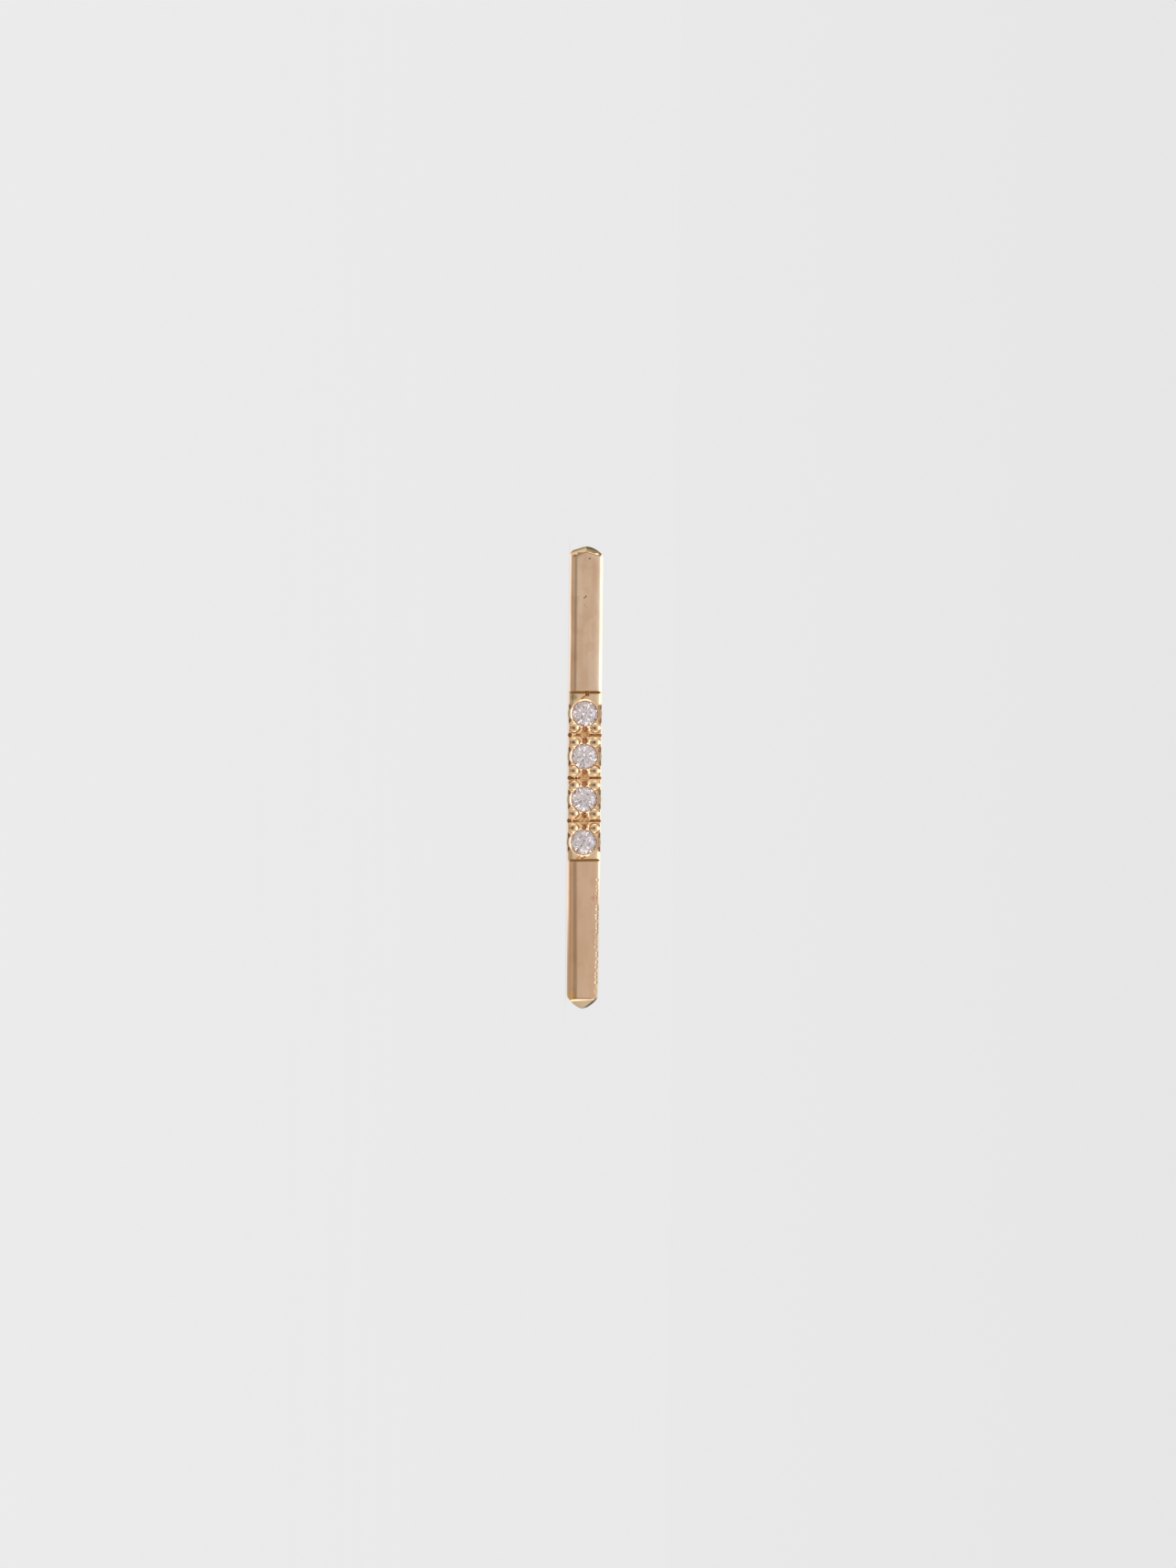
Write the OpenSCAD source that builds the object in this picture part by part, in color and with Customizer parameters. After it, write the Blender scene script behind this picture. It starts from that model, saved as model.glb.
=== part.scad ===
// Bar stud earring: a slim gold bar with four round brilliant stones set in its middle and a plain ear post.
// The origin is the centre of the post's foot, on the back of the bar. X runs along the bar, away from the
// end near the post. Y runs along the post, away from the bar. Z is up when the bar lies on its side.

/* [Bar] */
// Length of the bar from tip to tip
bar_l = 15; // [13:0.5:20]
// Width of the bar's face
bar_w = 1.07; // [1:0.01:1.3]
// Thickness of the bar from face to back
bar_t = 1.2; // [1.1:0.05:1.6]
// Radius of the four long edges
edge_r = 0.13; // [0.05:0.01:0.18]

/* [Ends] */
// Angle by which the sides of the gable at the post's end fall away, in degrees
top_fall = 17; // [12:1:30]
// Radius of the corners at the post's end
top_corner_r = 0.2; // [0.08:0.01:0.3]
// Width of the bevel on the face at the post's end
top_bevel = 0.15; // [0.08:0.01:0.25]
// Depth of that bevel below the face
top_bevel_d = 0.17; // [0.08:0.01:0.3]
// Angle by which the sides of the gable at the far end fall away, in degrees
foot_fall = 26; // [12:1:35]
// Radius of the corners at the far end
foot_corner_r = 0.42; // [0.1:0.01:0.48]
// Width of the bevel on the face at the far end
foot_bevel = 0.32; // [0.15:0.01:0.5]
// Depth of that bevel below the face
foot_bevel_d = 0.34; // [0.15:0.01:0.5]

/* [Stones] */
// Number of stones
stone_count = 4; // [2:1:5]
// Diameter of a stone at its girdle
stone_d = 0.85; // [0.8:0.01:0.87]
// Distance between the centres of neighbouring stones
stone_pitch = 1.39; // [1.35:0.01:1.5]
// Diameter of the table, across its corners
table_d = 0.49; // [0.42:0.01:0.54]
// Diameter at which the star facets end, across their points
star_d = 0.68; // [0.6:0.01:0.74]
// Diameter at which the lower girdle facets end, across their points
lower_d = 0.2; // [0.12:0.01:0.3]
// Angle of the crown's main facets, in degrees
crown_angle = 34.5; // [30:0.5:37]
// Angle of the pavilion's main facets, in degrees
pavilion_angle = 40.8; // [39:0.2:42]
// Thickness of the girdle
girdle_t = 0.02; // [0.01:0.005:0.04]
// Angle by which each stone is turned against the one before it, in degrees
stone_turn = 17; // [0:1:45]
// Depth of the table below the bar's face
table_sink = 0.02; // [0:0.005:0.06]

/* [Setting] */
// Clearance between a stone and the metal
seat_clear = 0.015; // [0.01:0.005:0.025]
// Radius of the hole drilled through the bar behind each stone
bore_r = 0.22; // [0.12:0.01:0.28]
// Width of the bright cut round each seat's mouth
bright_cut = 0.03; // [0.01:0.005:0.05]
// Thickness of the wall beside each stone
wall_t = 0.12; // [0.08:0.01:0.18]
// Depth to which that wall stands proud of the bar's side
wall_d = 0.42; // [0.2:0.02:0.6]
// Distance from the first stone's centre to the groove beside it
top_gap = 0.69; // [0.6:0.01:0.8]
// Distance from the last stone's centre to the groove beside it
foot_gap = 0.6; // [0.55:0.01:0.8]
// Width of the groove at each end of the setting
groove_w = 0.06; // [0.04:0.01:0.1]
// Depth of those grooves
groove_d = 0.07; // [0.04:0.01:0.12]
// Width of the groove between two stones
divider_w = 0.09; // [0.05:0.01:0.12]
// Depth of the groove between two stones
divider_d = 0.14; // [0.08:0.01:0.2]
// Radius of the knob at each end of the groove between two stones
knob_r = 0.07; // [0.05:0.01:0.1]
// Height by which a knob stands proud of the bar's side
knob_proud = 0.02; // [0.01:0.005:0.05]
// Depth of a knob's top below the bar's face
knob_drop = 0.035; // [0.02:0.005:0.06]
// Width of the pocket between the stones
pocket_w = 0.6; // [0.4:0.02:0.7]
// Depth of that pocket
pocket_d = 0.2; // [0.1:0.01:0.28]
// Radius of a prong
prong_r = 0.17; // [0.12:0.01:0.18]
// Distance from a prong to the plane of the bar's side
prong_inset = 0.03; // [0.01:0.005:0.05]
// Reach of a prong over the stone's girdle
prong_lap = 0.02; // [0.01:0.005:0.03]
// Height of a prong's top above the bar's face
prong_rise = 0.03; // [0:0.005:0.05]
// Height of the dome on a prong
prong_dome = 0.05; // [0.02:0.005:0.08]
// Radius of the wells drilled beside the stones
well_r = 0.09; // [0.05:0.01:0.12]
// Depth of the wells
well_d = 0.32; // [0.2:0.01:0.45]
// Radius of the notches in the side walls
notch_r = 0.06; // [0.03:0.005:0.07]
// Distance of a notch from its stone's centre, along the bar
notch_x = 0.225; // [0.2:0.005:0.24]
// Depth of the notches
notch_d = 0.4; // [0.2:0.02:0.6]

/* [Post] */
// Diameter of the ear post
post_d = 0.8; // [0.7:0.05:0.9]
// Length of the ear post from the bar's back
post_l = 10; // [8:0.5:12]
// Distance from the bar's near tip to the post's centre
post_x = 3.2; // [1.5:0.1:3.4]

/* [Hidden] */
$fn = 48;
FACETS = 8;
HALF_STEP = 180 / FACETS;
SPARE = 1;
SINK = 0.1;
PRONG_ROOT = 0.05;
POCKET_LAP = 0.02;
WALL_DROP = 0.005;
half_w = bar_w / 2;
stone_r = stone_d / 2;
table_r = table_d / 2;
star_r = star_d / 2;
lower_r = lower_d / 2;
crown_h = (stone_r - table_r) * tan(crown_angle);
pavilion_h = stone_r * tan(pavilion_angle);
star_h = crown_h - (star_r * cos(HALF_STEP) - table_r) * tan(crown_angle);
lower_h = pavilion_h - lower_r * cos(HALF_STEP) * tan(pavilion_angle);
girdle_z = -table_sink - crown_h - girdle_t / 2;
seat_r = stone_r + seat_clear;
setting_mid = bar_l / 2 - post_x;
prong_y = half_w - prong_inset - prong_r;
prong_x = sqrt(pow(stone_r + prong_r - prong_lap, 2) - pow(prong_y, 2));
post_r = post_d / 2;

function stone_x(i) = setting_mid + (i - (stone_count + 1) / 2) * stone_pitch;
function divider_x(i) = stone_x(i) + stone_pitch / 2;

// The bar is drawn face up, with its face at height 0, and then turned so that its face looks along -Y.
module on_face() {
    rotate([90, 0, 0]) translate([0, 0, bar_t]) children();
}

// Section of the bar, from its face down to its back
module bar_section() {
    translate([-half_w + edge_r, -bar_t]) square([bar_w - 2 * edge_r, bar_t]);
    translate([-half_w, -bar_t + edge_r]) square([bar_w, bar_t - 2 * edge_r]);
    for (y = [-half_w + edge_r, half_w - edge_r], z = [-bar_t + edge_r, -edge_r])
        translate([y, z]) circle(edge_r);
}

// Outline of one half of the bar, ending in a gable whose tip is at the origin and whose corners are rounded
module gable_outline(length, fall, corner_r) {
    eave = half_w * tan(fall);
    run = corner_r * tan((90 - fall) / 2);
    side_x = -eave - run;
    roof = [-eave + run * sin(fall), half_w - run * cos(fall)];
    polygon([[0, 0], roof, [side_x, half_w], [-length, half_w], [-length, -half_w],
        [side_x, -half_w], [roof[0], -roof[1]]]);
    for (s = [-1, 1])
        translate([side_x, s * (half_w - corner_r)]) circle(corner_r);
}

// Wedge that bevels the face near a tip at the origin, turned by an angle seen from above
module bevel_cutter(width, depth, turn) {
    translate([-width, 0, 0]) rotate([0, 0, turn]) rotate([0, atan2(depth, width), 0])
        translate([-SPARE, -bar_w, 0]) cube([3 * SPARE, 2 * bar_w, SPARE]);
}

module blank() {
    difference() {
        intersection() {
            translate([-post_x - SPARE, 0, 0]) rotate([90, 0, 90])
                linear_extrude(bar_l + 2 * SPARE) bar_section();
            translate([0, 0, -bar_t - SPARE]) linear_extrude(bar_t + 2 * SPARE) {
                translate([bar_l - post_x, 0]) gable_outline(bar_l / 2, foot_fall, foot_corner_r);
                translate([-post_x, 0]) mirror([1, 0])
                    gable_outline(bar_l / 2 + SINK, top_fall, top_corner_r);
            }
        }
        translate([bar_l - post_x, 0, 0]) bevel_cutter(foot_bevel, foot_bevel_d, 0);
        translate([-post_x, 0, 0]) mirror([1, 0, 0])
            for (s = [-1, 1]) bevel_cutter(top_bevel, top_bevel_d, s * top_fall);
    }
}

// Wall that bulges past the bar's sides round one stone
module seat_wall() {
    translate([0, 0, -wall_d]) cylinder(r = seat_r + wall_t, h = wall_d - WALL_DROP);
}

// Knobs at the two ends of the groove between stones
module knobs() {
    for (s = [-1, 1])
        translate([0, s * (half_w + knob_proud - knob_r), -wall_d])
            cylinder(r = knob_r, h = wall_d - knob_drop);
}

// Open mouth over one seat, with its bright cut
module seat_mouth() {
    rotate_extrude()
        polygon([[0, SPARE], [seat_r + bright_cut + SPARE, SPARE], [seat_r, -bright_cut],
            [seat_r, girdle_z], [0, girdle_z]]);
}

// Room for one stone and its clearance, with the hole drilled through behind it
module stone_room() {
    slant = seat_clear / cos(pavilion_angle);
    translate([0, 0, girdle_z]) rotate_extrude()
        polygon([
            [0, girdle_t / 2 + crown_h + seat_clear],
            [table_r + seat_clear, girdle_t / 2 + crown_h + seat_clear],
            [star_r + seat_clear, girdle_t / 2 + star_h + seat_clear],
            [seat_r, girdle_t / 2 + seat_clear / 2],
            [seat_r, -girdle_t / 2 + seat_clear * tan(pavilion_angle) - slant],
            [0, -girdle_t / 2 - pavilion_h - slant]]);
    translate([0, 0, -bar_t - SPARE]) cylinder(r = bore_r, h = bar_t + SPARE + girdle_z);
}

// V-shaped groove across the whole bar
module groove(width, depth) {
    rotate([90, 0, 0]) translate([0, 0, -bar_w])
        linear_extrude(2 * bar_w)
            polygon([[-width, depth], [width, depth], [0, -depth]]);
}

// Pocket cut down between two stones, and the wells drilled in it beside each stone
module pocket() {
    reach = stone_pitch / 2 - sqrt(pow(seat_r, 2) - pow(pocket_w / 2, 2)) + POCKET_LAP;
    translate([-reach, -pocket_w / 2, -pocket_d]) cube([2 * reach, pocket_w, pocket_d + SPARE]);
    for (s = [-1, 1])
        translate([s * (stone_pitch / 2 - seat_r - well_r / 2), 0, -well_d])
            cylinder(r = well_r, h = well_d + SPARE);
}

// Four prongs that stand in one pocket, two for each stone beside it
module prongs() {
    dome_r = (pow(prong_r, 2) + pow(prong_dome, 2)) / (2 * prong_dome);
    for (sx = [-1, 1], sy = [-1, 1])
        translate([sx * (stone_pitch / 2 - prong_x), sy * prong_y, 0])
            rotate_extrude() intersection() {
                translate([0, prong_rise - dome_r]) circle(dome_r, $fn = 96);
                translate([0, -pocket_d - PRONG_ROOT])
                    square([prong_r, pocket_d + PRONG_ROOT + SPARE]);
            }
}

// Four notches in the side walls of one stone
module notches() {
    for (sx = [-1, 1], sy = [-1, 1])
        translate([sx * notch_x, sy * half_w, -notch_d]) cylinder(r = notch_r, h = notch_d + SPARE);
}

// Plain round post with a rounded tip, drawn from the bar's back downwards
module post() {
    translate([0, 0, -bar_t]) rotate_extrude() {
        translate([0, -post_l + post_r]) square([post_r, post_l - post_r + SINK]);
        intersection() {
            translate([0, -post_l + post_r]) circle(post_r);
            translate([0, -post_l - SPARE]) square([post_r, post_r + SPARE]);
        }
    }
}

module engraved_bar() {
    difference() {
        union() {
            blank();
            for (i = [1:stone_count]) translate([stone_x(i), 0, 0]) seat_wall();
            for (i = [1:stone_count - 1]) translate([divider_x(i), 0, 0]) knobs();
        }
        for (i = [1:stone_count]) translate([stone_x(i), 0, 0]) {
            seat_mouth();
            notches();
        }
        for (i = [1:stone_count - 1]) translate([divider_x(i), 0, 0]) {
            pocket();
            groove(divider_w, divider_d);
        }
        for (x = [stone_x(1) - top_gap, stone_x(stone_count) + foot_gap])
            translate([x, 0, 0]) groove(groove_w, groove_d);
    }
}

module bar() {
    color("#c8a078") on_face() {
        difference() {
            union() {
                engraved_bar();
                for (i = [1:stone_count - 1]) translate([divider_x(i), 0, 0]) prongs();
            }
            for (i = [1:stone_count]) translate([stone_x(i), 0, 0]) stone_room();
        }
        post();
    }
}

// Corners of one ring of facets: radius, height, and half a step of turn where it is wanted
function ring(r, z, turn) =
    [for (k = [0:FACETS - 1]) let (a = 2 * HALF_STEP * k + turn) [r * cos(a), r * sin(a), z]];

// Round brilliant with its table up and the middle of its girdle at height 0
module brilliant() {
    upper = girdle_t / 2;
    points = concat(
        ring(table_r, upper + crown_h, 0),
        ring(star_r, upper + star_h, HALF_STEP),
        ring(stone_r, upper, 0),
        ring(stone_r, upper, HALF_STEP),
        ring(stone_r, -upper, 0),
        ring(stone_r, -upper, HALF_STEP),
        ring(lower_r, -upper - lower_h, HALF_STEP),
        [[0, 0, -upper - pavilion_h]]);
    table = 0;
    star = FACETS;
    main_up = 2 * FACETS;
    half_up = 3 * FACETS;
    main_dn = 4 * FACETS;
    half_dn = 5 * FACETS;
    lower = 6 * FACETS;
    culet = 7 * FACETS;
    faces = concat(
        [[for (k = [FACETS - 1:-1:0]) table + k]],
        [for (k = [0:FACETS - 1]) let (n = (k + 1) % FACETS, p = (k + FACETS - 1) % FACETS) each [
            [table + k, table + n, star + k],
            [table + k, star + k, main_up + k, star + p],
            [star + k, half_up + k, main_up + k],
            [star + k, main_up + n, half_up + k],
            [main_up + k, half_up + k, half_dn + k, main_dn + k],
            [half_up + k, main_up + n, main_dn + n, half_dn + k],
            [main_dn + k, half_dn + k, lower + k],
            [half_dn + k, main_dn + n, lower + k],
            [main_dn + k, lower + k, culet, lower + p]]]);
    polyhedron(points = points, faces = faces, convexity = 4);
}

module stone(i) {
    color("#e9e6ee") on_face()
        translate([stone_x(i), 0, girdle_z]) rotate([0, 0, (i - 1) * stone_turn]) brilliant();
}

bar();
for (i = [1:stone_count])
    stone(i);
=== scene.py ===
import math
import random

import bmesh
import bpy
from mathutils import Matrix, Vector


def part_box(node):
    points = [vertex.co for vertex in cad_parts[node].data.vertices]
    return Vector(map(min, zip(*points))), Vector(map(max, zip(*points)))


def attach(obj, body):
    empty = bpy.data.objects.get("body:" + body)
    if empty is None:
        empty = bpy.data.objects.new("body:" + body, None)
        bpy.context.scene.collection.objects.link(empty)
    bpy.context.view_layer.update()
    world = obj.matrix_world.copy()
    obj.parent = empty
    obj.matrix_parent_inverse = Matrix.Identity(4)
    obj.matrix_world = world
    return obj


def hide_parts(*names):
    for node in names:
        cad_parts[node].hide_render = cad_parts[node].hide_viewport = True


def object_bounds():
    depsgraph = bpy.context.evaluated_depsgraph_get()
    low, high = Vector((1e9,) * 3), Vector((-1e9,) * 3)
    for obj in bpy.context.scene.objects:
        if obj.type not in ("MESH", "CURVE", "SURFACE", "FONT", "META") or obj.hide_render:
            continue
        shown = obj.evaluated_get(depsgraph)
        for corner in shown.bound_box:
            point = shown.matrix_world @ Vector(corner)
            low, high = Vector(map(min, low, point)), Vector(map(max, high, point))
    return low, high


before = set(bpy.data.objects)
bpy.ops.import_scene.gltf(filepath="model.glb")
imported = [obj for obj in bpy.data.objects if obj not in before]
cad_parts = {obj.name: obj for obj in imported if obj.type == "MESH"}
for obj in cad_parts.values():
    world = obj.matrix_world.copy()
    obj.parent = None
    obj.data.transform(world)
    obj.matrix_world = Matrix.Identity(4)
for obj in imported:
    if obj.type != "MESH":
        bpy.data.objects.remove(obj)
cad_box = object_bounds()

# Sizes are in millimetres until a piece is finished. X runs along the bar, -Y looks out of its face and +Z is
# up as the earring lies on its side. The bar's reach and the stones' places come from the frame.
MM = 0.001
STONES = ("stone_1", "stone_2", "stone_3", "stone_4")


def in_mm(metres):
    return round(metres / MM, 3)


bar_low, bar_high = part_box("bar")
NEAR_TIP = in_mm(bar_low[0])
FAR_TIP = in_mm(bar_high[0])
POST_L = in_mm(bar_high[1])
CENTRE_X = (NEAR_TIP + FAR_TIP) / 2
FLOOR_Z = cad_box[0].z / MM
FACE_Y = -1.2
HALF_W = 0.535
FOOT_NARROWING = 0.965
POST_R = 0.4

# How far the polished long edges of the face roll over, at the lower and the upper side: near half, setting
# and far half. Those of the back are plain rounds.
NEAR_EDGES = (0.31, 0.27)
SETTING_EDGES = (0.2, 0.24)
FAR_EDGES = (0.39, 0.15)
SOFT_PROFILE = 0.68
BACK_EDGE = 0.13

# Outline of the two worn ends as (across, along) stations.
NEAR_OUTLINE = (
    (-0.6, -2.78), (-0.535, -2.95), (-0.517, -3.02), (-0.44, -3.095), (-0.25, -3.152), (-0.12, -3.197),
    (0.012, -3.218), (0.16, -3.19), (0.31, -3.118), (0.402, -3.056), (0.477, -2.992), (0.522, -2.9),
    (0.6, -2.68),
)
FAR_OUTLINE = (
    (-0.6, 11.1), (-0.513, 11.34), (-0.487, 11.42), (-0.41, 11.51), (-0.298, 11.64), (-0.164, 11.738),
    (-0.02, 11.8), (0.167, 11.738), (0.3, 11.648), (0.373, 11.582), (0.465, 11.48), (0.502, 11.39),
    (0.52, 11.28), (0.6, 11.05),
)
OUTLINE_ROUND = 0.03

# The bevels of the worn ends: where each starts along and across the bar, its tilt in degrees, which way
# along the bar it looks and how many degrees it turns to the side. Edges sharper than the last value are
# softened.
NEAR_BEVELS = ((-3.035, 0, 40, -1, 16), (-3.04, 0, 50, -1, 13), (-3.035, 0, 48, -1, -18))
FAR_BEVELS = ((11.472, 0, 40, 1, 0), (11.494, 0, 47, 1, 0))
END_SOFTENING = 0.034
SHARP_FROM = 27

# Hand polishing leaves waves in the long faces: name, length and height. They fade out near the setting.
# The face of the far half also falls towards its lower edge.
WAVES = (("long_waves", 1.9, 0.009), ("short_waves", 0.75, 0.0028))
WAVE_FADE = 0.4
FALL_DEPTH = 0.009
FALL_START = -0.15
FALL_WIDTH = 0.2
FALL_LENGTH = 4.4

# The four seats. The lip reaches a little over the stone's girdle, and a bright cut goes round it.
STONE_X = tuple(in_mm(sum(corner[0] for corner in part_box(name)) / 2) for name in STONES)
SEAT_R = 0.44
LIP_R = 0.403
BRIGHT_CUT_R = 0.472
GIRDLE_DEPTH = 0.154
PAVILION = math.radians(40.8)
BORE_R = 0.22

# What is cut and raised between the stones: pockets, round side walls, wells, notches in the walls, knobs at
# the ends of the dividers, and two beads on each side of a divider with their collars and rings.
DIVIDER_X = tuple(round((one + other) / 2, 3) for one, other in zip(STONE_X, STONE_X[1:]))
GROOVE_X = (1.52, 6.975)
POCKET_HALF = 0.4
POCKET_DEPTH = 0.17
WALL_DEPTH = 0.42
BASE_DEPTH = 0.54
WELL_SHIFT = 0.21
NOTCH_SHIFT = 0.225
NOTCH_DEPTHS = (-0.3, 0.34)
NOTCH_ACROSS = (0.53, 0.55)
KNOB_ACROSS = 0.485
KNOB_HOLE_ACROSS = -0.478
BEAD_PLACE = (0.238, 0.343)
BEAD_R = 0.162
BEAD_SPHERE = 0.22
BEAD_TOP = FACE_Y - 0.026
BEAD_FOOT = 0.3
COLLAR_HALF_W = 0.522
BURR_FOOT = 0.24
BURR_DEPTH = 0.04

# Round tools, each given by the depths below the face where it starts and ends, its radius, its number of
# sides and, for a cone, its end radius.
WALL = (0.008, WALL_DEPTH, 0.555, 128)
COLLAR = (BEAD_FOOT, 0.03, 0.272, 64)
COLLAR_TOP = (0.032, -0.004, 0.274, 64, 0.222)
RING = (0.09, -0.4, 0.182, 48)
RING_SLOPE = (0.028, -0.032, 0.18, 64, 0.27)
WELL = (-0.4, 0.25, 0.08, 32)
KNOB = (0.03, WALL_DEPTH, 0.07, 32)
KNOB_HOLE = (-0.2, 0.2, 0.058, 24)
BRIGHT_CUT = (-0.06, 0.065, 2 * BRIGHT_CUT_R - LIP_R, 96, LIP_R)
LIP = (-0.5, GIRDLE_DEPTH + 0.005, LIP_R, 96)
SEAT = (GIRDLE_DEPTH - 0.03, GIRDLE_DEPTH + 0.01, SEAT_R, 96)
CONE = (GIRDLE_DEPTH + 0.005, GIRDLE_DEPTH + SEAT_R * math.tan(PAVILION), SEAT_R, 96, 0.001)
BORE = (GIRDLE_DEPTH, 1 - FACE_Y, BORE_R, 48)

# A graver's line is given by its half width and depth. Those across the bar run out on both sides.
CUT_LINE = (0.045, 0.14)
END_LINE = (0.046, 0.075)
LINE_REACH = 0.8

# Fineness of the meshes: what counts as the same place, steps per millimetre of a rolled edge, rings along
# each half, strips across its face, the cells in which the engraved middle is melted together, and the share
# of its faces that is kept.
SAME_PLACE = 1e-4
STEPS_PER_MM = 75
HALF_RINGS = 30
FACE_STRIP = 0.06
VOXEL = 0.0125
KEPT_SHARE = 0.3

# The picture that the part follows: the size of one of its pixels, the column and row of the bar's middle,
# and how the bar leans in it.
PIXEL = 0.0298
MIDDLE_COLUMN = 637.1
MIDDLE_ROW = 847
PICTURE_LEAN = math.radians(0.5)

# Burrs that the graver left between the stones, by column and row in the picture and radius in millimetres.
BURRS = (
    (634, 800.5, 0.03), (636.2, 797, 0.026), (640, 803, 0.036), (632.6, 803.6, 0.024), (633.6, 847.6, 0.034),
    (636, 845, 0.024), (629.6, 846.4, 0.024), (633.4, 853, 0.03), (632.6, 858, 0.024), (641, 844, 0.022),
    (640.6, 889.2, 0.03), (638, 886.4, 0.026), (634.6, 899.6, 0.04), (642, 893, 0.026), (639.4, 901, 0.022),
    (626.6, 799.6, 0.03), (624, 800.2, 0.034), (626, 846.2, 0.03), (623.4, 893, 0.036), (627, 892.4, 0.026),
    (634.4, 793.4, 0.022), (643.2, 794.4, 0.022), (643.6, 806, 0.026), (632.2, 840.6, 0.024),
    (642.8, 852.6, 0.026), (631.4, 886.2, 0.022), (641.8, 899.4, 0.026), (637.6, 800.2, 0.028),
    (639.6, 799.2, 0.022), (641.2, 801, 0.02), (637.4, 804.2, 0.022), (637.4, 847.8, 0.03),
    (639.6, 846.2, 0.024), (640.2, 849.4, 0.02), (638.2, 842.4, 0.02), (636.8, 893.4, 0.03),
    (639.2, 894.2, 0.022), (634.6, 894.4, 0.022), (637.8, 890.4, 0.02),
)

# Casting pits in the face: column, row, radius in millimetres and how far each is drawn out along the bar.
PITS = (
    (636.8, 651, 0.026, 1.2), (638.4, 649.4, 0.03, 1.3), (642.5, 608, 0.031, 2.0), (637, 659, 0.02, 1),
    (639.6, 661.5, 0.02, 1.6), (626.3, 604.9, 0.04, 1), (638.2, 988, 0.018, 1.5), (627, 1070, 0.018, 1),
)

# The row of nicks along the upper edge of the far half runs between these places.
NICKS_FROM = 7.6
NICKS_TO = 11.3

# Places along and across the face that a colour is laid round: a paler orange patch, a reddish speck, and
# spots, a line and a cut with painted shade; the slant of the near bevels' lower edge, the direction of the
# painted shade along the rim at the foot, and how far colours in the setting stray.
MARKS = {
    "orange_patch_place": (11.38, -0.33),
    "speck": (8.2, 0.33),
    "shade": (1.68, -0.36),
    "near_corner": (-2.97, 0.45),
    "corner_line": (-2.93, -0.4),
    "slanting_cut_shade": (1.64, 0.0),
}
NEAR_BEVEL_SLANT = -0.31
FOOT_RIM_WAY = (0.771, 0, 0.638)
DRIFT = 0.09

# The camera, and the point that the floor's painted pool of light gathers round, are this far from the
# bar's middle, and the picture is this high at the bar.
CAMERA_AWAY = 300
GLOW_POINT_AWAY = 301
PICTURE_HEIGHT = 50.87


def select_none():
    bpy.ops.object.select_all(action="DESELECT")


def select_only(obj):
    select_none()
    obj.select_set(True)
    bpy.context.view_layer.objects.active = obj


def settle(obj):
    """Puts an object's place, turn and size into its mesh."""
    select_only(obj)
    bpy.ops.object.transform_apply(location=True, rotation=True, scale=True)
    return obj


def placed(name):
    """The primitive just added, named and settled."""
    obj = bpy.context.object
    obj.name = name
    return settle(obj)


def box(name, low, high):
    low, high = Vector(low), Vector(high)
    bpy.ops.mesh.primitive_cube_add(size=1, location=(low + high) / 2, scale=high - low)
    return placed(name)


def rod(name, start, end, radius, sides=64, end_radius=None):
    """A rod from start to end, or a cone where it has an end radius."""
    start, end = Vector(start), Vector(end)
    bpy.ops.mesh.primitive_cone_add(
        vertices=sides,
        radius1=radius,
        radius2=radius if end_radius is None else end_radius,
        depth=(end - start).length,
        location=(start + end) / 2,
        rotation=(end - start).to_track_quat("Z", "Y").to_euler(),
    )
    return placed(name)


def drilled(name, x, z, start, end, radius, sides, end_radius=None):
    """A rod or cone square to the face. It starts and ends at depths below the face."""
    return rod(name, (x, FACE_Y + start, z), (x, FACE_Y + end, z), radius, sides, end_radius)


def ball(name, centre, radius, scale=(1, 1, 1), steps=20):
    bpy.ops.mesh.primitive_uv_sphere_add(
        segments=steps, ring_count=steps // 2, radius=radius, location=centre, scale=scale
    )
    return placed(name)


def join(name, parts):
    select_none()
    for part in parts:
        part.select_set(True)
    bpy.context.view_layer.objects.active = parts[0]
    if len(parts) > 1:
        bpy.ops.object.join()
    parts[0].name = name
    return parts[0]


def apply_modifier(obj, kind, **settings):
    select_only(obj)
    modifier = obj.modifiers.new(kind.lower(), kind)
    for key, value in settings.items():
        setattr(modifier, key, value)
    bpy.ops.object.modifier_apply(modifier=modifier.name)


def combine(obj, operation, tools):
    """Adds the tools to obj, cuts them away or keeps what is shared. Tools given together don't overlap."""
    tool = join("tool", tools)
    apply_modifier(obj, "BOOLEAN", object=tool, operation=operation, solver="MANIFOLD")
    bpy.data.objects.remove(tool)


def pick_edges(obj, test):
    """In edit mode, selects only the edges whose middle and direction pass the test."""
    bpy.ops.mesh.select_mode(type="EDGE")
    bpy.ops.mesh.select_all(action="DESELECT")
    mesh = bmesh.from_edit_mesh(obj.data)
    for edge in mesh.edges:
        start, end = edge.verts[0].co, edge.verts[1].co
        if test((start + end) / 2, (end - start).normalized()):
            edge.select_set(True)
    bmesh.update_edit_mesh(obj.data)


def slice_off(point, normal, clear=False):
    """Cuts the whole mesh by a plane. With clear, what is on the normal's side goes and the cut is closed."""
    bpy.ops.mesh.select_all(action="SELECT")
    bpy.ops.mesh.bisect(plane_co=point, plane_no=normal, use_fill=clear, clear_outer=clear)


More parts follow.
